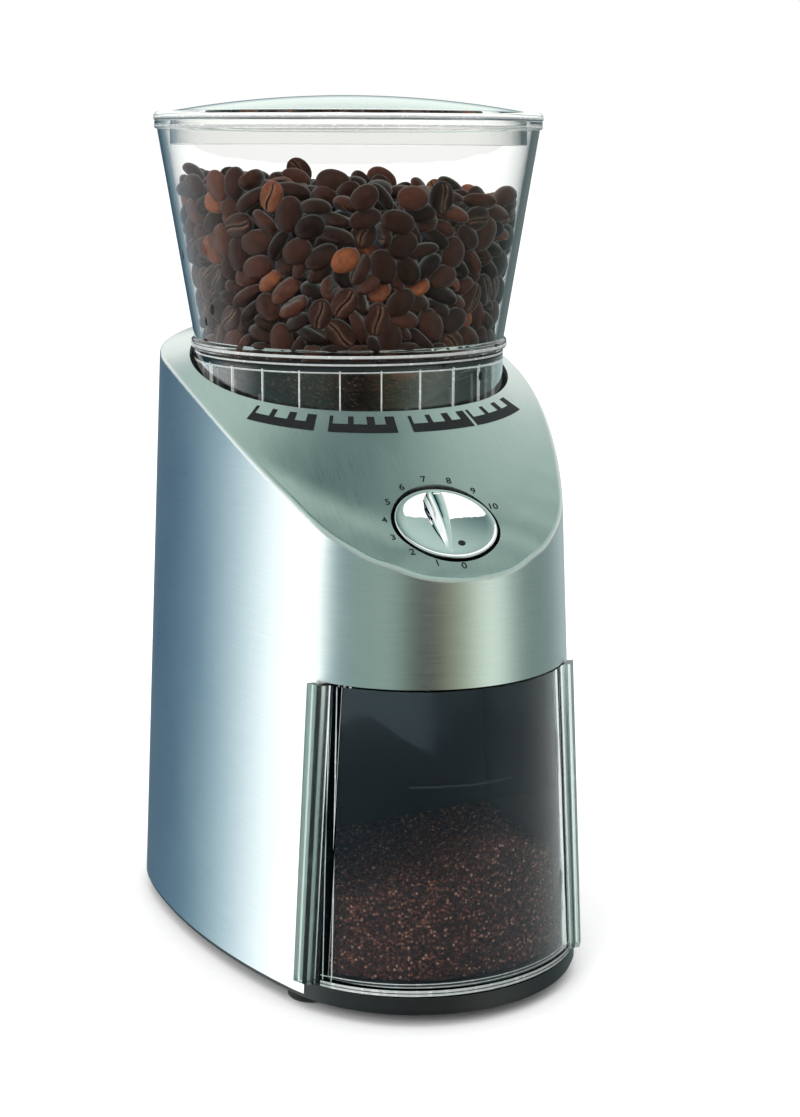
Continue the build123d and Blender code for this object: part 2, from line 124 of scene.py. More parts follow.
def rounded(outline, steps=4):
    """An outline of (u, v) or (u, v, fillet radius) corners, with the fillets drawn as arcs."""
    result = []
    for i, corner in enumerate(outline):
        here = np.array(corner[:2], float)
        radius = corner[2] if len(corner) > 2 else 0.0
        if not radius:
            result.append(tuple(here))
            continue
        back = np.array(outline[i - 1][:2], float) - here
        ahead = np.array(outline[(i + 1) % len(outline)][:2], float) - here
        back /= np.linalg.norm(back)
        ahead /= np.linalg.norm(ahead)
        half = math.acos(np.clip(back @ ahead, -1, 1)) / 2
        centre = here + (back + ahead) / np.linalg.norm(back + ahead) * radius / math.sin(half)
        first = here + back * radius / math.tan(half) - centre
        last = here + ahead * radius / math.tan(half) - centre
        sweep = math.pi - 2 * half
        for k in range(steps + 1):
            t = k / steps
            part = math.sin((1 - t) * sweep) * first + math.sin(t * sweep) * last
            result.append(tuple(centre + part / math.sin(sweep)))
    return result


def lathe(outline, closed=True, sides=192, centre=AXIS):
    """Points and faces of an outline of (radius, z) turned about an upright axis."""
    turn = np.arange(sides) * 2 * math.pi / sides
    points = [(r * math.cos(a) + centre[0], r * math.sin(a) + centre[1], z) for r, z in outline for a in turn]
    faces = []
    rows = len(outline)
    for i in range(rows if closed else rows - 1):
        a, b = i * sides, (i + 1) % rows * sides
        faces += [(a + k, a + (k + 1) % sides, b + (k + 1) % sides, b + k) for k in range(sides)]
    return points, faces


def weld(obj, distance=0.002):
    """Joins points that fall together, such as the rings at a pole."""
    bm = bmesh.new()
    bm.from_mesh(obj.data)
    bmesh.ops.remove_doubles(bm, verts=bm.verts, dist=distance * MM)
    bmesh.ops.dissolve_degenerate(bm, dist=distance * MM, edges=bm.edges)
    bmesh.ops.recalc_face_normals(bm, faces=bm.faces)
    bm.to_mesh(obj.data)
    bm.free()
    return obj


def arc_piece(name, outline, spans, centre, body, material, step=1.5):
    """Outlines of (radius, z) swept about an upright axis over spans of degrees from the front towards +X."""
    points, faces = [], []
    for a0, a1 in spans:
        first, stations = len(points), max(2, round(abs(a1 - a0) / step) + 1)
        whole = abs(a1 - a0) >= 360
        for a in np.radians(np.linspace(a0, a1, stations, endpoint=not whole)):
            points += [(centre[0] + r * math.sin(a), centre[1] - r * math.cos(a), z) for r, z in outline]
        n = len(outline)
        for i in range(stations if whole else stations - 1):
            j = (i + 1) % stations
            faces += [(first + i * n + k, first + j * n + k, first + j * n + (k + 1) % n,
                       first + i * n + (k + 1) % n)
                      for k in range(n)]
        if not whole:
            faces += [tuple(first + k for k in range(n)),
                      tuple(first + (stations - 1) * n + k for k in reversed(range(n)))]
    return face_outward(piece(name, points, faces, body, material))


def grid_faces(rows, columns, wrap=False):
    """Quads between points laid out row by row."""
    across = columns if wrap else columns - 1
    return [
        (i * columns + k, i * columns + (k + 1) % columns, (i + 1) * columns + (k + 1) % columns,
         (i + 1) * columns + k)
        for i in range(rows - 1)
        for k in range(across)
    ]


# ---- making materials ----
class Shading:
    """A small writer for shader nodes."""

    def __init__(self, tree):
        self.tree = tree
        tree.nodes.clear()

    def node(self, kind, **settings):
        made = self.tree.nodes.new(kind)
        for key, value in settings.items():
            setattr(made, key, value)
        return made

    def put(self, value, socket):
        if isinstance(value, bpy.types.NodeSocket):
            self.tree.links.new(value, socket)
        elif isinstance(value, tuple) and len(value) == 3 and len(socket.default_value) == 4:
            socket.default_value = (*value, 1.0)
        else:
            socket.default_value = value

    def remap(self, value, low, high, to_low=0.0, to_high=1.0, smooth=False):
        made = self.node("ShaderNodeMapRange")
        if smooth:
            made.interpolation_type = "SMOOTHSTEP"
        for key, v in zip(("Value", "From Min", "From Max", "To Min", "To Max"),
                          (value, low, high, to_low, to_high)):
            self.put(v, made.inputs[key])
        return made.outputs[0]

    def sums(self, a, b, how="MULTIPLY"):
        made = self.node("ShaderNodeMath", operation=how)
        self.put(a, made.inputs[0])
        self.put(b, made.inputs[1])
        return made.outputs[0]

    def ramp(self, value, stops, how="LINEAR"):
        made = self.node("ShaderNodeValToRGB")
        made.color_ramp.interpolation = how
        band = made.color_ramp.elements
        while len(band) < len(stops):
            band.new(1.0)
        for element, (place, colour) in zip(band, stops):
            element.position = place
            element.color = (*colour, 1.0)
        self.put(value, made.inputs[0])
        return made.outputs[0]

    def mix(self, factor, a, b):
        made = self.node("ShaderNodeMix", data_type="RGBA")
        self.put(factor, made.inputs[0])
        self.put(a, made.inputs[6])
        self.put(b, made.inputs[7])
        return made.outputs[2]

    def between(self, share, first, second=None):
        """Two shaders mixed; without a second one the first is only dimmed."""
        made = self.node("ShaderNodeMixShader")
        self.put(share, made.inputs[0])
        self.put(first.outputs[0], made.inputs[1])
        if second is not None:
            self.put(second.outputs[0], made.inputs[2])
        return made


class Paint(Shading):
    """A node material. Texture sizes are in mm on the object."""

    def __init__(self, name):
        self.material = bpy.data.materials.new(name)
        self.material.use_nodes = True
        super().__init__(self.material.node_tree)
        self.where = self.node("ShaderNodeTexCoord").outputs["Object"]

    def scaled(self, x, y, z):
        """Object coordinates in units of x, y and z mm."""
        mapping = self.node("ShaderNodeMapping")
        self.put(self.where, mapping.inputs["Vector"])
        mapping.inputs["Scale"].default_value = (1 / (x * MM), 1 / (y * MM), 1 / (z * MM))
        return mapping.outputs[0]

    def noise(self, vector, detail=3.0, roughness=0.5):
        made = self.node("ShaderNodeTexNoise")
        self.put(vector, made.inputs["Vector"])
        made.inputs["Scale"].default_value = 1.0
        made.inputs["Detail"].default_value = detail
        made.inputs["Roughness"].default_value = roughness
        return made.outputs["Fac"]

    def cells(self, vector, output="Distance"):
        made = self.node("ShaderNodeTexVoronoi", feature="F1")
        self.put(vector, made.inputs["Vector"])
        made.inputs["Scale"].default_value = 1.0
        return made.outputs[output]

    def bump(self, height, depth):
        """Depth is how far the height's 0 to 1 stands out, in mm."""
        made = self.node("ShaderNodeBump")
        made.inputs["Distance"].default_value = depth * MM
        made.inputs["Strength"].default_value = 1.0
        self.put(height, made.inputs["Height"])
        return made.outputs[0]

    def principled(self, **values):
        made = self.node("ShaderNodeBsdfPrincipled")
        for key, value in values.items():
            self.put(value, made.inputs[key.replace("_", " ")])
        return made

    def finish(self, shader):
        self.put(shader.outputs[0], self.node("ShaderNodeOutputMaterial").inputs["Surface"])
        return self.material

    def lamps_pass(self, shader, tint):
        """Clear plastic lets lamp light through to what it holds."""
        through = self.node("ShaderNodeBsdfTransparent")
        self.put(tint, through.inputs["Color"])
        lamp_ray = self.node("ShaderNodeLightPath").outputs["Is Shadow Ray"]
        return self.finish(self.between(lamp_ray, shader, through))


def brushed_housing():
    """Satin steel: brushed round the walls and front to back on the sloped top."""
    p = Paint("brushed_metal")
    split = p.node("ShaderNodeSeparateXYZ")
    p.put(p.node("ShaderNodeTexCoord").outputs["Normal"], split.inputs[0])
    on_top = p.remap(split.outputs["Z"], 0.35, 0.6, smooth=True)
    wall = p.noise(p.scaled(14, 14, 0.16), detail=4, roughness=0.7)
    fine_wall = p.noise(p.scaled(5, 5, 0.07), detail=2, roughness=0.6)
    top = p.noise(p.scaled(0.16, 14, 14), detail=4, roughness=0.7)
    fine_top = p.noise(p.scaled(0.07, 5, 5), detail=2, roughness=0.6)
    coarse = p.mix(on_top, wall, top)
    fine = p.mix(on_top, fine_wall, fine_top)
    cloud = p.noise(p.scaled(38, 38, 46), detail=3)
    grain = p.sums(p.sums(coarse, 0.6), p.sums(fine, 0.4), "ADD")
    colour = p.ramp(grain, [(0.3, (0.60, 0.62, 0.61)), (0.7, (0.76, 0.775, 0.765))])
    rough = p.sums(p.remap(grain, 0.3, 0.7, 0.27, 0.36), p.remap(cloud, 0.3, 0.7, -0.02, 0.02), "ADD")
    along = p.node("ShaderNodeMix", data_type="VECTOR")
    p.put(on_top, along.inputs[0])
    along.inputs[4].default_value = (0.0, 0.0, 1.0)
    along.inputs[5].default_value = (1.0, 0.0, 0.0)
    shader = p.principled(Base_Color=colour, Metallic=1.0, Roughness=rough, Anisotropic=0.72,
                          Tangent=along.outputs[1], Normal=p.bump(grain, 0.004))
    return p.finish(shader)


def plain_metal(name, dark, light, rough, streak=(6, 6, 0.3), bump=0.004, metallic=1.0):
    """Turned, plated or cast metal with a fine streak or grain."""
    p = Paint(name)
    grain = p.noise(p.scaled(*streak), detail=4, roughness=0.6)
    stain = p.noise(p.scaled(12, 12, 12), detail=3)
    colour = p.mix(p.remap(stain, 0.35, 0.65), p.ramp(grain, [(0.3, dark), (0.7, light)]), light)
    shader = p.principled(Base_Color=colour, Metallic=metallic,
                          Roughness=p.remap(grain, 0.3, 0.7, rough - 0.06, rough + 0.08),
                          Normal=p.bump(grain, bump))
    return p.finish(shader)


def moulded(name, dark, light, rough, size=0.45, depth=0.012, sheen=0.0):
    """Moulded plastic or rubber with a spark-eroded texture."""
    p = Paint(name)
    pits = p.noise(p.scaled(size, size, size), detail=2, roughness=0.6)
    cloud = p.noise(p.scaled(22, 22, 22), detail=3)
    colour = p.ramp(p.sums(p.sums(pits, 0.4), p.sums(cloud, 0.6), "ADD"), [(0.3, dark), (0.7, light)])
    shader = p.principled(Base_Color=colour, Roughness=p.remap(cloud, 0.3, 0.7, rough - 0.05, rough + 0.06),
                          Specular_IOR_Level=0.45, Sheen_Weight=sheen, Normal=p.bump(pits, depth))
    return p.finish(shader)


def chrome():
    p = Paint("chrome")
    haze = p.noise(p.scaled(7, 7, 7), detail=4)
    colour = p.ramp(haze, [(0.3, (0.78, 0.785, 0.80)), (0.7, (0.86, 0.865, 0.87))])
    return p.finish(p.principled(Base_Color=colour, Metallic=1.0, Roughness=0.0, Normal=p.bump(haze, 0.008)))


def smoky():
    """The container's clear plastic, with a darker tint over the grip ribs where they stand proud of the housing:
    painted shade.
    """
    p = Paint("smoky_clear")
    split = p.node("ShaderNodeSeparateXYZ")
    p.put(p.where, split.inputs[0])
    beside = p.remap(p.sums(split.outputs["X"], 0.0, "ABSOLUTE"), 0.0378, 0.0384)
    ahead = p.remap(split.outputs["Y"], -0.0714, -0.0718)
    smudge = p.noise(p.scaled(9, 9, 9), detail=4, roughness=0.65)
    wave = p.noise(p.scaled(16, 16, 22), detail=1.5)
    # darker tint over the proud ribs: painted shade
    tint = p.mix(p.sums(beside, ahead), (0.90, 0.94, 0.93), (0.55, 0.64, 0.62))
    shader = p.principled(Base_Color=tint, Roughness=p.remap(smudge, 0.62, 0.75, 0.0, 0.04), IOR=1.5,
                          Transmission_Weight=1.0, Specular_Tint=(0.17, 0.24, 0.31),
                          Normal=p.bump(wave, 0.01))
    return p.lamps_pass(shader, (0.90, 0.94, 0.93))


def clear():
    """Clear moulded plastic with flow waviness, smudges and hairline scuffs. The hopper's collar, below the
    bead, is duller and mirrors more than the bowl."""
    p = Paint("clear_plastic")
    tint = (0.955, 0.957, 0.945)
    wave = p.noise(p.scaled(16, 16, 22), detail=1.5)
    smudge = p.noise(p.scaled(9, 9, 9), detail=4, roughness=0.65)
    scuff = p.noise(p.scaled(0.5, 0.5, 9), detail=3)
    height = p.node("ShaderNodeSeparateXYZ")
    p.put(p.where, height.inputs[0])
    collar = p.remap(height.outputs["Z"], 0.1855, 0.1845)
    roughness = p.sums(p.sums(collar, 0.05), p.remap(scuff, 0.7, 0.8, 0.0, 0.05), "ADD")
    colour = p.ramp(smudge, [(0.3, tint), (0.8, tuple(min(1.0, c * 1.01) for c in tint))])
    shader = p.principled(Base_Color=colour, Roughness=roughness, IOR=1.5, Transmission_Weight=1.0,
                          Specular_Tint=p.mix(collar, (0.05, 0.05, 0.05), (1.0, 1.0, 1.0)),
                          Normal=p.bump(wave, 0.03))
    return p.lamps_pass(shader, tint)


def bean_skin():
    """Roasted beans: one roast each, a satin skin with fine wrinkles, and a groove along the flat face with
    pale chaff on its shoulders and painted shade, near black, down its middle, drawn in each bean's own mm."""
    p = Paint("roasted_bean")
    roast = p.node("ShaderNodeAttribute", attribute_name="roast").outputs["Fac"]
    own = p.node("ShaderNodeSeparateXYZ")
    p.put(p.node("ShaderNodeAttribute", attribute_name="own_place").outputs["Vector"], own.inputs[0])
    bend = p.sums(p.sums(p.sums(own.outputs[0], 0.62), 0.0, "SINE"), 0.42)
    across = p.sums(p.sums(own.outputs[1], bend, "SUBTRACT"), 0.0, "ABSOLUTE")
    flat = p.sums(p.remap(own.outputs[2], -0.5, -1.0),
                  p.remap(p.sums(own.outputs[0], 0.0, "ABSOLUTE"), 4.9, 4.2))
    groove_and_painted_shade = p.sums(p.remap(across, 0.42, 0.12, smooth=True), flat)
    shoulder = p.sums(p.remap(across, 1.5, 0.5, smooth=True), flat)
    mottle = p.noise(p.scaled(1.9, 1.9, 1.9), detail=4, roughness=0.65)
    wrinkle = p.noise(p.scaled(0.55, 0.55, 0.55), detail=3, roughness=0.6)
    shade = p.sums(roast, p.remap(mottle, 0.25, 0.75, -0.12, 0.12), "ADD")
    skin = p.ramp(shade, [(0.0, (0.010, 0.005, 0.004)), (0.35, (0.026, 0.011, 0.008)),
                          (0.65, (0.062, 0.023, 0.015)), (0.86, (0.12, 0.040, 0.020)),
                          (1.0, (0.21, 0.068, 0.027))])
    pale = p.mix(p.sums(shoulder, p.remap(wrinkle, 0.35, 0.7, 0.1, 0.75)), skin, (0.20, 0.115, 0.075))
    # the groove's middle painted near black: painted shade
    colour = p.mix(groove_and_painted_shade, pale, (0.010, 0.005, 0.004))
    height = p.sums(p.sums(groove_and_painted_shade, -1.0), p.sums(wrinkle, 0.22), "ADD")
    shader = p.principled(Base_Color=colour, Roughness=p.remap(mottle, 0.3, 0.7, 0.3, 0.44),
                          Specular_IOR_Level=0.12, Normal=p.bump(height, 0.4))
    return p.finish(shader)


def ground_coffee(name="ground_coffee", grain=0.8):
    """Ground coffee: grains of under a millimetre in mixed red-browns, painted near black towards each grain's
    edge as shade between the grains.
    """
    p = Paint(name)
    at = p.scaled(grain, grain, grain)
    pick = p.node("ShaderNodeSeparateColor")
    p.put(p.cells(at, output="Color"), pick.inputs[0])
    depth = p.cells(at)
    fine = p.noise(p.scaled(0.3, 0.3, 0.3), detail=3)
    tone = p.ramp(pick.outputs[0], [(0.0, (0.010, 0.004, 0.003)), (0.4, (0.036, 0.011, 0.008)),
                                    (0.7, (0.090, 0.027, 0.017)), (0.9, (0.21, 0.068, 0.042)),
                                    (1.0, (0.45, 0.23, 0.16))])
    # painted shade: near black towards the cell edges, in the gaps between grains
    colour = p.mix(p.remap(depth, 0.2, 0.8), tone, (0.010, 0.004, 0.003))
    height = p.sums(p.remap(depth, 0.0, 0.8, 1.0, 0.0), p.sums(fine, 0.25), "ADD")
    shader = p.principled(Base_Color=colour, Roughness=0.72, Specular_IOR_Level=0.3,
                          Normal=p.bump(height, 0.5))
    return p.finish(shader)


def ink(name, dark, light):
    """Screen-printed ink with a slight unevenness."""
    p = Paint(name)
    body = p.noise(p.scaled(0.7, 0.7, 0.7), detail=4)
    colour = p.ramp(body, [(0.3, dark), (0.7, light)])
    return p.finish(p.principled(Base_Color=colour, Roughness=p.remap(body, 0.3, 0.7, 0.42, 0.6),
                                 Specular_IOR_Level=0.12, Normal=p.bump(body, 0.004)))


def board_green():
    p = Paint("circuit_board")
    weave = p.cells(p.scaled(1.2, 1.2, 1.2))
    tracks = p.node("ShaderNodeTexBrick")
    p.put(p.scaled(9, 9, 9), tracks.inputs["Vector"])
    tracks.inputs["Color1"].default_value = (0.015, 0.12, 0.05, 1)
    tracks.inputs["Color2"].default_value = (0.02, 0.15, 0.06, 1)
    tracks.inputs["Mortar"].default_value = (0.05, 0.26, 0.11, 1)
    shader = p.principled(Base_Color=tracks.outputs[0], Roughness=p.remap(weave, 0.0, 0.8, 0.3, 0.42),
                          Normal=p.bump(weave, 0.01))
    return p.finish(shader)


SLOTS = {
    "brushed_metal": brushed_housing(),
    "black_plastic": moulded("black_plastic", (0.012, 0.012, 0.014), (0.022, 0.022, 0.025), 0.42,
                             depth=0.004),
    "foot_rubber": moulded("foot_rubber", (0.010, 0.010, 0.011), (0.024, 0.023, 0.023), 0.78, size=0.8,
                           depth=0.03, sheen=0.1),
    "zinc_steel": plain_metal("zinc_steel", (0.42, 0.43, 0.45), (0.62, 0.63, 0.64), 0.32),
    "clear_plastic": clear(),
    "motor_steel": plain_metal("motor_steel", (0.22, 0.22, 0.23), (0.36, 0.36, 0.37), 0.42),
    "magnet": plain_metal("magnet", (0.035, 0.035, 0.037), (0.06, 0.06, 0.062), 0.62,
                          streak=(0.8, 0.8, 0.8), bump=0.03, metallic=0.3),
    "gear_nylon": moulded("gear_nylon", (0.70, 0.67, 0.58), (0.80, 0.78, 0.70), 0.45),
    "bronze": plain_metal("bronze", (0.42, 0.26, 0.11), (0.60, 0.41, 0.19), 0.4, streak=(0.5, 0.5, 0.5),
                          bump=0.01),
    "cast_aluminium": plain_metal("cast_aluminium", (0.46, 0.47, 0.48), (0.62, 0.63, 0.64), 0.52,
                                  streak=(0.9, 0.9, 0.9), bump=0.03),
    "burr_steel": plain_metal("burr_steel", (0.30, 0.30, 0.31), (0.50, 0.50, 0.51), 0.28, streak=(0.2, 4, 4)),
    "chrome": chrome(),
    "smoky_clear": smoky(),
    "circuit_board": board_green(),
}
BEAN = bean_skin()
GROUNDS = ground_coffee()
GRAINS = ground_coffee("loose_grains", 1.3)
PRINT = ink("printed_ink", (0.010, 0.010, 0.011), (0.022, 0.022, 0.024))

for part in frame["record"]["subparts"]:
    for held in NODES[part["node"]].material_slots:
        held.material = SLOTS[part["material_slot"]]


# ---- the housing's printed settings ----
depsgraph = bpy.context.evaluated_depsgraph_get()
HOUSING = BVHTree.FromObject(NODES["housing_shell"], depsgraph)


def on_housing(start, towards, lift=0.06):
    """Where a line from start first meets the housing, lifted off it by a film's thickness, in mm."""
    hit, normal, _, _ = HOUSING.ray_cast(Vector(start) * MM, Vector(towards))
    return np.array(hit) / MM + np.array(normal) * lift


def print_on_top(name, spans, material):
    """Films on the sloped top. A span is (from angle, to angle, from radius, to radius) about the hopper's
    axis, with angles in degrees from the front towards +X."""
    points, faces = [], []
    for a0, a1, r0, r1 in spans:
        across = max(2, round(math.radians(a1 - a0) * r1 / 0.9) + 1)
        along = max(2, round((r1 - r0) / 0.9) + 1)
        first = len(points)
        for r in np.linspace(r0, r1, along):
            for a in np.radians(np.linspace(a0, a1, across)):
                points.append(on_housing((r * math.sin(a), AXIS_Y - r * math.cos(a), TOP_Z), (0, 0, -1)))
        faces += [tuple(first + i for i in face) for face in grid_faces(along, across)]
    return piece(name, points, faces, "casing", material)


# four combs of four settings, fine to coarse: start angle and tooth pitch in degrees
COMBS = ((-49.5, 6.0), (-24.3, 5.85), (1.0, 6.05), (23.4, 6.8))
COMB_TEETH = (1.2, 1.8, 2.6, 3.2)           # tooth widths, mm
COMB_IN, COMB_SPINE, COMB_OUT = 53.9, 56.7, 59.7


def setting_combs():
    for number, (start, pitch) in enumerate(COMBS):
        teeth = []
        for i, width in enumerate(COMB_TEETH):
            a = start + i * pitch
            teeth.append((a, a + math.degrees(width / COMB_OUT), COMB_IN, COMB_SPINE))
        spine = (start, teeth[-1][1], COMB_SPINE, COMB_OUT)
        print_on_top(f"setting_comb_{number + 1}", teeth + [spine], PRINT)


setting_combs()


# ---- timer dial ----
AXLE = next(j for j in frame["joints"] if j["name"] == "timer_turn")
INWARD = Vector(AXLE["axis"])
KNOB_UP = -INWARD.normalized()                       # out of the housing
KNOB_SLOPE = Vector((1, 0, 0)).cross(KNOB_UP) * -1   # up the slope
if KNOB_SLOPE.y < 0:
    KNOB_SLOPE = -KNOB_SLOPE
KNOB_AT = Vector(AXLE["pos_m"]) / MM
KNOB_R = 15.2
DIAL_R = 18.0


def dial_place(right, up_slope, out):
    """A point in the dial's own directions, in mm."""
    return KNOB_AT + Vector((1, 0, 0)) * right + KNOB_SLOPE * up_slope + KNOB_UP * out


def numerals():
    """0 at the front, then every 25 degrees clockwise, upright on the slope."""
    points, faces = [], []
    for number in range(11):
        text = bpy.data.curves.new("numeral", "FONT")
        text.body = str(number)
        text.size = 3.3
        text.align_x = "CENTER"
        text.align_y = "CENTER"
        text.resolution_u = 6
        text.offset = 0.045
        holder = bpy.data.objects.new("numeral", text)
        into_scene(holder)
        bpy.context.view_layer.update()
        flat = holder.evaluated_get(bpy.context.evaluated_depsgraph_get()).to_mesh()
        turn = math.radians(180 + 25 * number)
        x0, y0 = DIAL_R * math.sin(turn), DIAL_R * math.cos(turn) + 0.3
        first = len(points)
        for v in flat.vertices:
            points.append(on_housing(dial_place(x0 + v.co.x, y0 + v.co.y, 5), tuple(INWARD)))
        faces += [tuple(first + i for i in f.vertices) for f in flat.polygons]
        bpy.data.objects.remove(holder)
        bpy.data.curves.remove(text)
    piece("dial_numerals", points, faces, "casing", PRINT)


numerals()


GRIP_Y = (-13.2, -12.0, -9.0, -5.0, -0.8, 4.0, 8.9, 11.2)
GRIP_FOOT_LEFT = (-3.1, -3.5, -3.7, -3.9, -4.0, -4.1, -4.1, -3.9)
GRIP_TOP_LEFT = (-2.75, -2.6, -2.3, -2.2, -2.35, -2.6, -2.9, -2.8)
GRIP_TOP_RIGHT = (-2.4, -2.1, -1.4, -0.5, 0.3, 0.9, 1.2, 0.7)
GRIP_HEIGHT = (0.15, 0.55, 1.3, 2.2, 3.0, 3.6, 3.95, 3.8)


def timer_knob():
    """Chromed knob: a near flush disc, slightly dished, and a curved blade that rises up the slope."""
    face = [(r, 0.3 + 0.4 * (r / 13.5) ** 2) for r in (0.0, 3.0, 6.0, 9.0, 12.0, 13.5)]
    disc = rounded(face + [(KNOB_R, 0.7, 0.5), (KNOB_R, -1.2, 0.3), (KNOB_R - 2.5, -1.2), (6.0, -1.4),
                           (6.0, -3.9), (0, -3.9)])
    points, faces = lathe(disc, closed=False, sides=160, centre=np.zeros(3))
    points = [dial_place(*p) for p in points]
    knob = weld(piece("timer_knob_disc", points, faces, "timer_dial", SLOTS["chrome"]))
    even_shading(knob)
    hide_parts("timer_knob")

    points = []
    rows = 60
    for i in range(rows):
        y = GRIP_Y[0] + (GRIP_Y[-1] - GRIP_Y[0]) * i / (rows - 1)
        foot, left, right, height = (
            float(np.interp(y, GRIP_Y, line))
            for line in (GRIP_FOOT_LEFT, GRIP_TOP_LEFT, GRIP_TOP_RIGHT, GRIP_HEIGHT))
        end = max(0.0, (y - 10.0) / 1.2) ** 2
        top = 0.5 + height - 0.9 * end
        soft = 0.32 * min(right - left, height)
        section = rounded([(foot, 0.3), (left, top, soft), (right, top - 0.1, soft), (right + 0.45, 0.3)], 5)
        points += [dial_place(x, y, z) for x, z in section]
    columns = len(points) // rows
    faces = grid_faces(rows, columns)
    faces.append(tuple(range((rows - 1) * columns, rows * columns)))
    faces.append(tuple(reversed(range(columns))))
    grip = face_outward(piece("timer_knob_grip", points, faces, "timer_dial", SLOTS["chrome"], 50))
    smooth_along(grip)

    dot = [(0, 0.10), (1.0, 0.10), (1.1, 0.04), (1.1, -0.1), (0, -0.1)]
    points, faces = lathe(dot, closed=False, sides=40, centre=np.zeros(3))
    points = [dial_place(x + 1.9, y - 9.1, z + 0.58) for x, y, z in points]
    weld(piece("timer_knob_mark", points, faces, "timer_dial", PRINT))


timer_knob()


# ---- hopper ----
WALL_LOW = (50.4, RING_Z + 2)       # outer wall just over the bead
WALL_HIGH = (61.0, RIM_Z - 2.6)     # outer wall under the rim
INNER_LOW = (48.1, RING_Z + 2)
INNER_HIGH = (58.6, RIM_Z - 3)
FUNNEL = (19.5, 168.4)
FUNNEL_TOP = (47.0, RING_Z - 1)
INDEX_ANGLE = 36.9


def hopper():
    outline = rounded([
        (21.5, 150.5, 0.3), (21.5, 167.0, 0.6), (47.9, 184.0, 0.5), (47.9, 162.0, 0.3),
        (COLLAR_R, 162.0, 0.3), (COLLAR_R, RING_Z - 1.6, 0.3), (51.3, RING_Z - 1, 0.4),
        (51.3, RING_Z + 1.2, 0.5), (*WALL_LOW, 0.4), (*WALL_HIGH, 0.3), (61.8, RIM_Z - 2.4, 0.3),
        (61.8, RIM_Z, 0.3), (58.9, RIM_Z, 0.3), (*INNER_HIGH, 0.3), (*INNER_LOW, 1.2), (*FUNNEL_TOP, 1.2),
        (*FUNNEL, 1.0), (FUNNEL[0], 150.5, 0.3)])
    points, faces = lathe(outline, sides=256)
    bowl = face_outward(piece("hopper_bowl", points, faces, "bean_hopper",
                              SLOTS["clear_plastic"]))
    even_shading(bowl)
    bowl.visible_glossy = False
    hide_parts("hopper")

    points, faces = [], []
    for i in range(24):
        a = math.radians(-21.4 + 15 * i)
        out = np.array([math.sin(a), -math.cos(a)])
        side = np.array([math.cos(a), math.sin(a)])
        first = len(points)
        for z in (164.5, 184.2):
            for r, w in ((47.86, -0.22), (47.86, 0.22), (47.1, 0.12), (47.1, -0.12)):
                x, y = out * r + side * w
                points.append((x, y + AXIS_Y, z if r > 47 else z - 0.6))
        faces += [tuple(first + i for i in f) for f in
                  ((0, 1, 5, 4), (1, 2, 6, 5), (2, 3, 7, 6), (3, 0, 4, 7), (3, 2, 1, 0), (4, 5, 6, 7))]
    # the ribs are drawn in pale plastic as painted highlight lines
    face_outward(piece("hopper_collar_ribs", points, faces, "bean_hopper", PAINTED_HIGHLIGHT))

    a0 = math.radians(INDEX_ANGLE)
    points = []
    for i in range(9):
        for k in range(24):
            r, t = i / 8, 2 * math.pi * k / 24
            a = a0 + 1.05 * r * math.cos(t) / COLLAR_R
            points.append(((COLLAR_R + 0.06) * math.sin(a), AXIS_Y - (COLLAR_R + 0.06) * math.cos(a),
                           180.6 + 1.5 * r * math.sin(t)))
    weld(piece("hopper_index_mark", points, grid_faces(9, 24, wrap=True), "bean_hopper",
               PRINT))


# Pale, part-clear plastic that paints the bright highlight lines seen along clear plastic edges and ribs.
def rib_plastic():
    p = Paint("painted_highlight_edge")
    haze = p.noise(p.scaled(2, 2, 2), detail=3)
    shader = p.principled(Base_Color=p.ramp(haze, [(0.3, (0.80, 0.82, 0.81)), (0.7, (0.95, 0.96, 0.95))]),
                          Roughness=p.remap(haze, 0.3, 0.7, 0.18, 0.3), IOR=1.45, Transmission_Weight=0.35)
    return p.lamps_pass(shader, (0.8, 0.82, 0.81))


PAINTED_HIGHLIGHT = rib_plastic()
hopper()


def moulded_rings():
    """Painted highlight lines round the collar, the bead and the two rims, drawn as rings a tenth of a mm proud in
    pale plastic.
    """
    for name, r, low, high, body in (
            ("hopper_ring_1", COLLAR_R, 183.7, 184.05, "bean_hopper"),
            ("hopper_ring_2", COLLAR_R, 185.9, 186.5, "bean_hopper"),
            ("hopper_ring_3", 51.3, RING_Z - 0.6, RING_Z + 0.3, "bean_hopper"),
            ("hopper_ring_4", 61.8, 256.9, 257.4, "bean_hopper"),
            ("lid_ring", RIM_R, RIM_Z + 0.5, RIM_Z + 1.0, "lid")):
        outline = [(r + 0.02, low), (r + 0.12, low + 0.1), (r + 0.12, high - 0.1), (r + 0.02, high)]
        arc_piece(name, outline, [(0, 360)], AXIS, body, PAINTED_HIGHLIGHT, step=1.875)


moulded_rings()


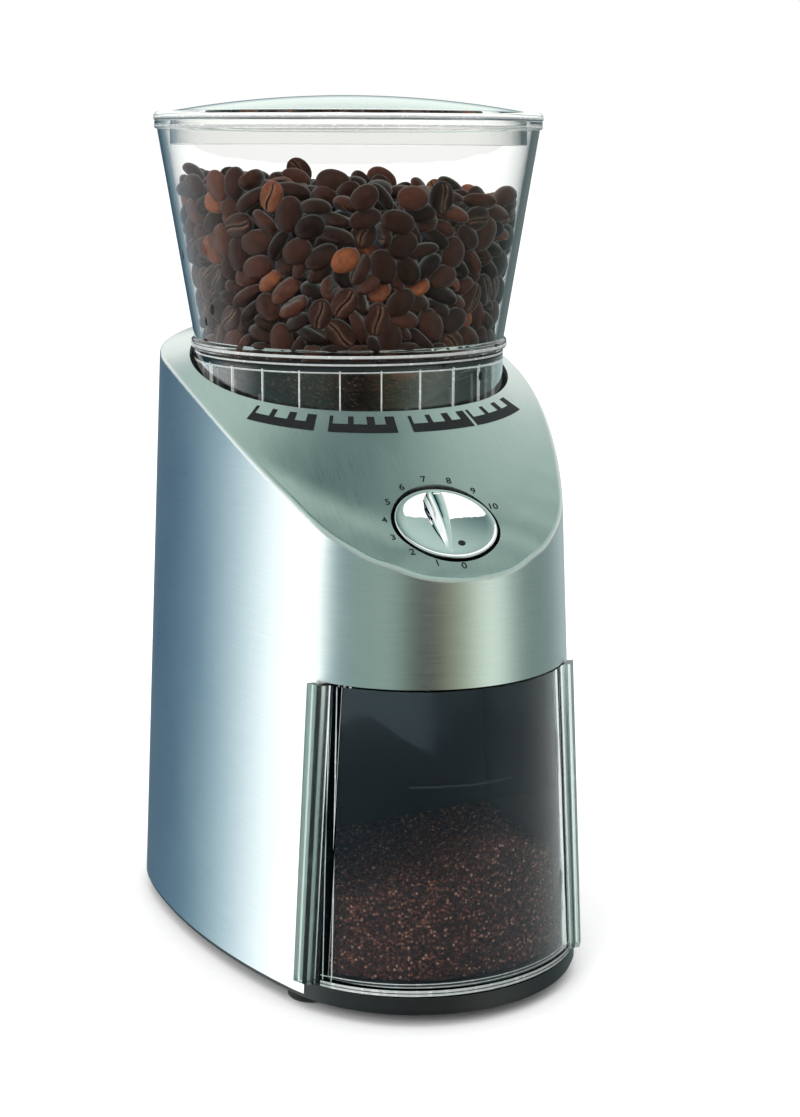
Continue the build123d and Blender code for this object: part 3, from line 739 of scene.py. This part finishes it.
def lid():
    """A shallow dome over a rim that rests on the hopper, with a skirt inside it."""
    dome_r, skirt_r, thick = 58.0, 55.2, 2.0
    edge_z = RIM_Z + 2.6
    rise = TOP_Z - edge_z
    cap_r = (dome_r**2 + rise**2) / (2 * rise)

    def dome(r, drop):
        return (r, TOP_Z - cap_r + math.sqrt(cap_r**2 - r**2) - drop)

    upper = [dome(r, 0) for r in np.linspace(0, dome_r, 30)]
    under = [dome(r, thick) for r in np.linspace(skirt_r, 0, 28)]
    turn = rounded([dome(dome_r, 0), (RIM_R - 0.8, edge_z, 0.5), (RIM_R, edge_z - 0.9, 0.5),
                    (RIM_R, RIM_Z + 0.1, 0.3), (57.0, RIM_Z + 0.1, 0.25), (57.0, RIM_Z - 7.4, 0.4),
                    (skirt_r, RIM_Z - 7.4, 0.4), dome(skirt_r, thick)])
    points, faces = lathe(upper[:-1] + turn + under[1:], closed=False, sides=256)
    cover = weld(piece("lid_dome", points, faces, "lid", SLOTS["clear_plastic"]))
    even_shading(cover)
    cover.visible_glossy = False
    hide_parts("hopper_lid")


lid()


# ---- coffee beans ----
BEAN_COUNT = 775
BEAN_SIZES = (0.9, 1.08)            # smallest and largest, against BEAN_HALF
BEAN_HALF = np.array([5.3, 3.85, 2.65])
BALL_R = 2.55
BALLS = np.array([(2.75, 0, 0), (-2.75, 0, 0), (0, 1.3, 0), (0, -1.3, 0)])
CORE_GAP, CORE_TOP = 12.0, 227.0
FILL_TOP = 241.0


def wall_radius(z):
    """The hopper's inner radius."""
    t = (z - INNER_LOW[1]) / (INNER_HIGH[1] - INNER_LOW[1])
    return INNER_LOW[0] + t * (INNER_HIGH[0] - INNER_LOW[0])


def nearby(balls, owner, reach):
    """Pairs of balls of different beans within reach of each other."""
    b = balls.astype(np.float32)
    square = (b**2).sum(1)
    near = square[:, None] + square[None] - 2 * b @ b.T < reach**2
    i, k = np.nonzero(np.triu(near, 1))
    keep = owner[i] != owner[k]
    return i[keep], k[keep]


def push_apart(balls, radius, pairs):
    """One averaged push on every ball that overlaps another."""
    i, k = pairs
    gap = balls[i] - balls[k]
    dist = np.linalg.norm(gap, axis=1) + 1e-9
    push = np.clip(radius[i] + radius[k] - dist, 0, None)
    move = gap / dist[:, None] * (0.5 * push)[:, None]
    hit = (push > 0).astype(float)
    touches = np.bincount(i, hit, len(balls)) + np.bincount(k, hit, len(balls))
    for axis in range(3):
        total = np.bincount(i, move[:, axis], len(balls)) - np.bincount(k, move[:, axis], len(balls))
        balls[:, axis] += 1.5 * total / np.maximum(1, 0.5 * touches)


def keep_in_hopper(balls, radius):
    """Balls stay inside the wall, above the funnel and outside the heap's unseen core."""
    slope = (FUNNEL_TOP[1] - FUNNEL[1]) / (FUNNEL_TOP[0] - FUNNEL[0])
    rho = np.hypot(balls[:, 0], balls[:, 1]) + 1e-9
    limit = wall_radius(np.maximum(balls[:, 2], INNER_LOW[1])) - radius - 0.35
    shrink = np.minimum(1, limit / rho)
    balls[:, :2] *= shrink[:, None]
    rho *= shrink
    floor = FUNNEL[1] + (rho - FUNNEL[0]) * slope + radius * math.hypot(1, slope) + 0.3
    balls[:, 2] = np.maximum(balls[:, 2], floor)
    core = wall_radius(balls[:, 2]) - CORE_GAP
    up = CORE_TOP + radius - balls[:, 2]
    out = core + radius - rho
    inside = (up > 0) & (out > 0)
    over = inside & (up < out)
    balls[over, 2] += up[over]
    beside = inside & ~over
    balls[beside, :2] *= ((rho[beside] + out[beside]) / rho[beside])[:, None]


def fit_beans(balls, offsets):
    """The place and turn of each bean that best fit where its four balls have gone."""
    grouped = balls.reshape(len(offsets), 4, 3)
    place = grouped.mean(1)
    spread = np.einsum("nki,nkj->nij", grouped - place[:, None], offsets)
    u, _, vt = np.linalg.svd(spread)
    flip = np.ones((len(offsets), 3))
    flip[:, 2] = np.linalg.det(u) * np.linalg.det(vt)
    return place, np.einsum("nij,nj,njk->nik", u, flip, vt)


def settle_beans(count, steps, rng):
    """Places, turns and sizes of beans poured round the core. Each bean is four balls held together."""
    share = rng.uniform(0, 1, count) < 0.60
    z = np.where(share, rng.uniform(RING_Z, CORE_TOP + 6, count),
                 rng.uniform(CORE_TOP + 4, FILL_TOP + 30, count))
    r = np.sqrt(rng.uniform(np.where(share, wall_radius(z) - CORE_GAP + 3, 2.0) ** 2,
                            (wall_radius(z) - 3) ** 2))
    a = rng.uniform(0, 2 * math.pi, count)
    place = np.stack([r * np.cos(a), r * np.sin(a), z], 1)
    turn = np.linalg.qr(rng.normal(size=(count, 3, 3)))[0]
    turn[:, :, 2] *= np.linalg.det(turn)[:, None]
    size = rng.uniform(*BEAN_SIZES, count)
    offsets = BALLS[None] * size[:, None, None]
    radius = np.repeat(BALL_R * size, 4)
    owner = np.repeat(np.arange(count), 4)
    for step in range(steps):
        place[:, 2] -= 0.35 * max(0.0, 1 - step / (steps * 0.85)) + 0.02
        for sweep in range(4):
            balls = (place[:, None] + np.einsum("nij,nkj->nki", turn, offsets)).reshape(-1, 3)
            if sweep == 0 and step % 5 == 0:
                pairs = nearby(balls, owner, 2 * BALL_R * BEAN_SIZES[1] + 1.8)
            push_apart(balls, radius, pairs)
            keep_in_hopper(balls, radius)
            place, turn = fit_beans(balls, offsets)
    return place, turn, size


def bean_shape(rings=15, sides=22):
    """One bean: a domed back and a flatter face with a groove along it."""
    points = []
    for i in range(rings):
        lat = math.pi * (i + 0.5) / rings
        for k in range(sides):
            a = 2 * math.pi * k / sides
            x, y, z = math.cos(lat), math.sin(lat) * math.sin(a), math.sin(lat) * math.cos(a)
            px = BEAN_HALF[0] * math.copysign(abs(x) ** 0.92, x)
            py = BEAN_HALF[1] * y
            pz = BEAN_HALF[2] * z
            if z < 0:
                pz = -BEAN_HALF[2] * 0.72 * abs(z) ** 0.6
                ends = max(0.0, 1 - x * x) ** 0.4
                pz += 0.55 * math.exp(-((py / 0.8) ** 2)) * ends
            points.append((px, py, pz))
    faces = grid_faces(rings, sides, wrap=True)
    faces.append(tuple(reversed(range(sides))))
    faces.append(tuple(range((rings - 1) * sides, rings * sides)))
    return np.array(points), faces


def beans():
    rng = np.random.default_rng(SEED)
    place, turn, size = settle_beans(BEAN_COUNT, 240, rng)
    place[:, 2] -= 0.038 * place[:, 0] * np.clip((place[:, 2] - 205) / 30, 0, 1)
    shape, faces = bean_shape()
    roast = np.clip(rng.normal(0.40, 0.17, BEAN_COUNT), 0, 0.8)
    odd = rng.random(BEAN_COUNT) < 0.07
    roast[odd] = rng.uniform(0.82, 1.0, odd.sum())
    stretch = rng.uniform(0.93, 1.07, (BEAN_COUNT, 3))
    order = np.argsort(place[:, 2])
    for number, group in enumerate(np.array_split(order, 3)):
        local = shape[None] * (size[group, None] * stretch[group])[:, None]
        points = place[group, None] + np.einsum("nij,nkj->nki", turn[group], local) + AXIS
        many = [tuple(first * len(shape) + i for i in f) for first in range(len(group)) for f in faces]
        obj = piece(f"coffee_beans_{number + 1}", points.reshape(-1, 3), many, "bean_hopper",
                    BEAN, 0)
        attribute = obj.data.attributes.new("roast", "FLOAT", "POINT")
        attribute.data.foreach_set("value", np.repeat(roast[group], len(shape)).astype(np.float32))
        attribute = obj.data.attributes.new("own_place", "FLOAT_VECTOR", "POINT")
        attribute.data.foreach_set("vector", np.tile(shape, (len(group), 1)).astype(np.float32).ravel())
        obj.visible_glossy = False


beans()


def bean_core():
    """The unseen middle of the heap, as a lumpy dark body."""
    rng = np.random.default_rng(SEED + 1)
    low_r = wall_radius(RING_Z) - CORE_GAP
    outline = [(r, CORE_TOP - 1) for r in np.linspace(0.01, wall_radius(CORE_TOP) - CORE_GAP - 2, 12)]
    outline += [(wall_radius(z) - CORE_GAP - 1, z) for z in np.linspace(CORE_TOP - 3, RING_Z - 3, 16)]
    outline += [(r, FUNNEL[1] + 1.2 + (r - FUNNEL[0]) * 0.63)
                for r in np.linspace(low_r - 2, FUNNEL[0] - 1.5, 8)]
    outline += [(r, FUNNEL[1]) for r in np.linspace(FUNNEL[0] - 3, 0.01, 6)]
    points, faces = lathe(outline, closed=False, sides=96)
    points = np.array(points)
    points += rng.normal(0, 0.35, points.shape)
    core = weld(piece("coffee_bean_core", points, faces, "bean_hopper", GROUNDS), 0.5)
    core.visible_glossy = False


bean_core()


# ---- ground coffee in the container ----
DRAFT = math.tan(math.radians(2.63))
NOSE_R = 50.4
NOSE_Y = FRONT_Y + NOSE_R
METAL_BOTTOM = SHELL_LOW[2]
TUB_WALL = 2.2
TUB_FOOT_Z = 9
TUB_HALF, TUB_LEAN = 39.3, 0.053    # half width at the foot, and how much narrower per mm up
TUB_BACK_Y = TUB_HIGH[1] - TUB_WALL - 0.3
HEAP_GAP = 0.35                     # between the grounds and the container's wall
HEAP_MIDDLE = (0, -52)


def nose_radius(z):
    """The housing's nose gets smaller with height."""
    return NOSE_R - (z - METAL_BOTTOM) * DRAFT


def container_lines():
    """The moulded level line, painted dark with a strip of painted shade under it, and painted highlight lines
    along the edges of the container's clear shield.
    """
    centre = (0, NOSE_Y)
    whole, level = (-50.5, 50.5), (-20, 17.8)
    # the level line is painted dark as shade; the pale edge strips are painted highlights
    for name, span, low, high, out, material in (
            ("container_level_line", level, 71.15, 71.35, 0.08, PRINT),
            ("container_foot_edge", whole, 9.2, 10.0, 0.10, PAINTED_HIGHLIGHT),
            ("container_top_edge", whole, 99.3, 99.7, 0.06, PAINTED_HIGHLIGHT),
            ("container_floor_edge", whole, 11.5, 11.8, 0.05, PAINTED_HIGHLIGHT)):
        r = nose_radius((low + high) / 2)
        outline = [(r + 0.015, low), (r + out, low + 0.1), (r + out, high - 0.1), (r + 0.015, high)]
        arc_piece(name, outline, [span], centre, "container", material)
    # a dark strip under the level line: painted shade
    r = nose_radius(70.6)
    arc_piece("container_level_shade",
              [(r + 0.015, 70.5), (r + 0.2, 70.6), (r + 0.2, 71.0), (r + 0.015, 71.1)],
              [level], centre, "container", PRINT)
    # thin pale strips down the shield's sides: painted highlights
    points, faces = [], []
    rows = 24
    for angle in (-49.6, -46.4, 46.4, 49.6):
        first = len(points)
        for z in np.linspace(10.4, 99.0, rows):
            for a, out in ((-0.17, 0.015), (-0.1, 0.07), (0.1, 0.07), (0.17, 0.015)):
                r = nose_radius(z)
                turn = math.radians(angle) + a / r
                points.append(((r + out) * math.sin(turn), NOSE_Y - (r + out) * math.cos(turn), z))
        faces += [tuple(first + i for i in f) for f in grid_faces(rows, 4, wrap=True)]
        last = first + (rows - 1) * 4
        faces += [tuple(first + i for i in range(4)), tuple(last + i for i in reversed(range(4)))]
    face_outward(piece("container_shield_edges", points, faces, "container", PAINTED_HIGHLIGHT))


container_lines()


def tub_outline(z, inset):
    """The inside of the container at height z: two leaning sides and the rounded nose."""
    half = TUB_HALF - (z - TUB_FOOT_Z) * TUB_LEAN - TUB_WALL - inset
    nose = nose_radius(z) - TUB_WALL - inset
    reach = math.asin(min(1.0, half / nose))
    arc = [(nose * math.sin(a), NOSE_Y - nose * math.cos(a)) for a in np.linspace(-reach, reach, 90)]
    back = TUB_BACK_Y - inset
    loop = arc + [(half, y) for y in np.linspace(arc[-1][1], back, 40)[1:]]
    loop += [(x, back) for x in np.linspace(half, -half, 50)[1:]]
    loop += [(-half, y) for y in np.linspace(back, arc[0][1], 40)[1:-1]]
    return np.array(loop)


def heap_height(x, y):
    """Level of the ground coffee: a cone under the chute to the right of a lower shoulder at the left."""
    cone = 12.5 * np.exp(-(((x - 14) / 13) ** 2 + ((y + 84) / 22) ** 2))
    side = 3.5 * np.exp(-(((x + 10) / 14) ** 2 + ((y + 80) / 16) ** 2))
    return 38.0 + cone + side + 0.07 * x + 0.10 * np.clip(-y - 80, 0, 20)


def ground_heap():
    rng = np.random.default_rng(SEED + 2)
    floor_z = TUB_LOW[2] + 2.5
    over_z = 60.0                       # a level above the heap
    low, rim, high = (tub_outline(z, HEAP_GAP) for z in (floor_z, 50, over_z))
    count = len(rim)
    points = []
    for t in np.linspace(0, 1, 60):
        z = floor_z + (heap_height(rim[:, 0], rim[:, 1]) - floor_z) * t
        share = ((z - floor_z) / (over_z - floor_z))[:, None]
        points.append(np.column_stack([low * (1 - share) + high * share, z]))
    skin = len(points) * count
    for t in np.linspace(1, 0.02, 50)[1:]:
        ring = rim * t + np.array(HEAP_MIDDLE) * (1 - t)
        points.append(np.column_stack([ring, heap_height(ring[:, 0], ring[:, 1])]))
    points = np.concatenate(points)
    rings = len(points) // count
    inward = np.array([*HEAP_MIDDLE, 30.0]) - points
    inward /= np.linalg.norm(inward, axis=1)[:, None]
    points += inward * rng.uniform(0, 0.5, (len(points), 1))
    points[skin:, 2] += rng.uniform(-0.5, 0.5, len(points) - skin)
    faces = grid_faces(rings, count, wrap=True)
    faces.append(tuple(range((rings - 1) * count, rings * count)))
    faces.append(tuple(reversed(range(count))))
    piece("ground_coffee_heap", points, faces, "container", GROUNDS, 0)

    # loose grains lying on the heap and against the clear wall
    chips = 9000
    at = rng.integers(count, len(points), chips)
    at[: chips // 2] = rng.integers(count, skin, chips // 2)
    base = points[at] + rng.uniform(-0.35, 0.35, (chips, 3))
    step = np.where(at[:, None] < skin, inward[at] * 0.35, np.array([0, 0, 0.1]))
    base = base + step
    spread = rng.normal(size=(chips, 6, 3))
    corner = np.array([(1, 0, 0), (-1, 0, 0), (0, 1, 0), (0, -1, 0), (0, 0, 1), (0, 0, -1)], float)
    turn = np.linalg.qr(rng.normal(size=(chips, 3, 3)))[0]
    size = rng.uniform(0.14, 0.42, (chips, 1, 1))
    grains = base[:, None] + np.einsum("nij,kj->nki", turn, corner) * size + spread * size * 0.25
    octahedron = [(0, 2, 4), (2, 1, 4), (1, 3, 4), (3, 0, 4), (2, 0, 5), (1, 2, 5), (3, 1, 5), (0, 3, 5)]
    faces = [tuple(6 * n + i for i in f) for n in range(chips) for f in octahedron]
    grains = grains.reshape(-1, 3)
    grains[:, 2] = np.maximum(grains[:, 2], floor_z)
    piece("ground_coffee_grains", grains, faces, "container", GRAINS, 0)


ground_heap()


# ---- stage, light and camera ----
def stage():
    """A wide flat pale floor. The backdrop is the pale surroundings."""
    p = Paint("floor")
    tooth = p.noise(p.scaled(3, 3, 3), detail=4)
    shader = p.principled(Base_Color=p.ramp(tooth, [(0.3, (0.93, 0.93, 0.93)), (0.7, (0.95, 0.95, 0.95))]),
                          Roughness=0.7, Specular_IOR_Level=0.2)
    mesh = bpy.data.meshes.new("floor")
    reach = 30.0
    mesh.from_pydata([(-reach, -reach, 0), (reach, -reach, 0), (reach, reach, 0), (-reach, reach, 0)], [],
                     [(0, 1, 2, 3)])
    mesh.materials.append(p.finish(shader))
    floor = bpy.data.objects.new("floor", mesh)
    into_scene(floor)
    floor.visible_glossy = False
    floor.visible_diffuse = False


# Soft light by compass direction about the grinder, in degrees from the front towards +X.
SURROUND = [
    (-180, (0.10, 0.17, 0.24)), (-160, (0.03, 0.10, 0.18)), (-147, (0.06, 0.18, 0.30)),
    (-137, (0.30, 0.52, 0.63)), (-128, (0.95, 1.20, 1.30)), (-119, (2.2, 2.3, 2.3)),
    (-100, (2.0, 2.1, 2.1)), (-90, (0.42, 0.66, 0.70)), (-79, (0.15, 0.28, 0.29)),
    (-52, (0.27, 0.41, 0.37)), (-36, (0.30, 0.44, 0.38)), (-22, (0.03, 0.055, 0.04)),
    (-5, (0.0, 0.0, 0.0)), (7, (0.28, 0.29, 0.17)), (20, (0.33, 0.42, 0.31)),
    (40, (1.25, 1.48, 1.32)), (58, (0.33, 0.46, 0.42)), (76, (0.15, 0.24, 0.22)),
    (105, (0.20, 0.29, 0.29)), (135, (0.60, 0.72, 0.72)), (160, (0.22, 0.32, 0.38)),
    (180, (0.10, 0.17, 0.24)),
]
OVERHEAD = (0.53, 0.71, 0.645)
OVERHEAD_BACK = (0.0, 0.05, 0.06)
HORIZON = (1.1, 1.16, 1.12)
BACKDROP = (1.0, 1.0, 1.0)
IN_PLASTIC = (0.5, 0.52, 0.51)
FILL_LOW, FILL_HIGH = 0.16, 1.15            # light on matt surfaces, from below and from above
PATCH_AT, PATCH_EDGE = (0.11, 0.14), (0.16, 0.36)
STRIP = (0.640, 0.684)                      # how far up the dial's slope the bright strip lies


def surroundings():
    """A studio painted on the sky. What a ray sees of it depends on its direction and on its kind."""
    world = bpy.data.worlds.new("studio")
    bpy.context.scene.world = world
    world.use_nodes = True
    world.cycles.sampling_method = "NONE"
    p = Shading(world.node_tree)
    direction = p.node("ShaderNodeTexCoord").outputs["Generated"]
    split = p.node("ShaderNodeSeparateXYZ")
    p.put(direction, split.inputs[0])
    x, y, z = split.outputs
    path = p.node("ShaderNodeLightPath").outputs

    def eased(value, low, high, to_low=0.0, to_high=1.0):
        return p.remap(value, low, high, to_low, to_high, smooth=True)

    def glow(colour, strength=1.0):
        made = p.node("ShaderNodeBackground")
        p.put(colour, made.inputs["Color"])
        p.put(strength, made.inputs["Strength"])
        return made

    # the walls of the studio, by compass direction: the ramp holds half of each colour, doubled again here
    angle = p.sums(x, p.sums(y, -1.0), "ARCTAN2")
    walls = [((degrees + 180) / 360, tuple(c / 2 for c in colour)) for degrees, colour in SURROUND]
    around = glow(p.ramp(p.sums(p.sums(angle, 0.5 / math.pi), 0.5, "ADD"), walls, "B_SPLINE"), 2.0)

    # the ceiling, with a dark patch that the sloped top mirrors behind the dial
    patch_x = p.sums(x, PATCH_AT[0], "SUBTRACT")
    patch_y = p.sums(y, PATCH_AT[1], "SUBTRACT")
    away = p.sums(p.sums(p.sums(patch_x, patch_x), p.sums(patch_y, patch_y), "ADD"), 0.0, "SQRT")
    ceiling = p.mix(eased(away, *PATCH_EDGE, 1.0, 0.0), OVERHEAD, OVERHEAD_BACK)
    light = p.between(eased(z, 0.35, 0.75), around, glow(ceiling))

    # a narrow bright strip overhead, seen as a white patch in the chromed knob only
    across = p.node("ShaderNodeVectorMath", operation="DOT_PRODUCT")
    p.put(direction, across.inputs[0])
    across.inputs[1].default_value = tuple(KNOB_SLOPE)
    strip = path["Is Singular Ray"]
    for value, how, limit in ((across.outputs["Value"], "GREATER_THAN", STRIP[0]), (z, "GREATER_THAN", 0.8),
                              (across.outputs["Value"], "LESS_THAN", STRIP[1]), (x, "GREATER_THAN", 0.12)):
        strip = p.sums(strip, p.sums(value, limit, how))
    light = p.between(strip, light, glow((0.8, 0.8, 0.8), 1.7))

    # a pale band above the horizon
    horizon = p.sums(eased(z, 0.07, 0.19), eased(z, 0.42, 0.62), "SUBTRACT")
    light = p.between(horizon, light, glow(HORIZON, eased(y, -0.3, 0.3, 0.6, 1.0)))

    # smooth clear walls mirror the low surroundings only faintly
    light = p.between(p.sums(path["Is Singular Ray"], eased(z, 0.02, 0.14, 0.62, 0.0)), light)
    # rays turned inside clear plastic, and rays from matt surfaces, see a plain soft light
    light = p.between(path["Is Transmission Ray"], light, glow(IN_PLASTIC, eased(z, 0.15, 0.8, 0.6, 2.6)))
    light = p.between(p.sums(path["Diffuse Depth"], 0.5, "GREATER_THAN"), light,
                      glow((1.0, 1.0, 1.0), eased(z, -0.25, 0.75, FILL_LOW, FILL_HIGH)))

    # the backdrop itself, seen straight or through clear plastic
    turned = p.sums(path["Ray Depth"], path["Transmission Depth"], "SUBTRACT")
    direct = p.sums(p.sums(path["Is Camera Ray"], path["Is Transmission Ray"], "MAXIMUM"),
                    p.sums(turned, 1.5, "LESS_THAN"))
    shown = p.between(direct, light, glow(BACKDROP))
    p.put(shown.outputs[0], p.node("ShaderNodeOutputWorld").inputs["Surface"])


def left_lamp():
    """A soft lamp far to the left, which shows in no reflection."""
    light = bpy.data.lights.new("left_soft", "AREA")
    light.shape = "RECTANGLE"
    light.size, light.size_y = 0.5, 0.8
    light.energy = 7
    holder = bpy.data.objects.new("left_soft", light)
    holder.location = (-1.1, -0.9, 0.7)
    holder.rotation_euler = (Vector((0, 0, 0.12)) - holder.location).to_track_quat("-Z", "Y").to_euler()
    holder.visible_glossy = False
    holder.visible_camera = False
    into_scene(holder)


def overhead():
    """Wide, even light from above that whitens the floor and leaves a soft shadow."""
    light = bpy.data.lights.new("overhead_soft", "SUN")
    light.energy = 1.15
    light.angle = math.radians(75)
    holder = bpy.data.objects.new("overhead_soft", light)
    holder.rotation_euler = (math.radians(-14), math.radians(6), 0)
    holder.visible_glossy = False
    into_scene(holder)


def camera():
    """The photograph's viewpoint: from the front left, a little above the lid's height."""
    place = Vector((-201.6, -601.2, 251.0)) * MM
    heading, down, roll = math.radians(19.55), math.radians(11.71), math.radians(0.23)
    forward = Vector((math.sin(heading) * math.cos(down), math.cos(heading) * math.cos(down),
                      -math.sin(down)))
    lens = bpy.data.cameras.new("camera")
    lens.sensor_width = 36
    lens.lens = 64.0
    lens.clip_start = 0.02
    holder = bpy.data.objects.new("camera", lens)
    holder.location = place
    holder.rotation_mode = "QUATERNION"
    tilt = Matrix.Rotation(roll, 4, "Z").to_quaternion()
    holder.rotation_quaternion = forward.to_track_quat("-Z", "Y") @ tilt
    into_scene(holder)
    bpy.context.scene.camera = holder


stage()
surroundings()
overhead()
left_lamp()
camera()
bpy.context.scene.view_settings.view_transform = "Standard"
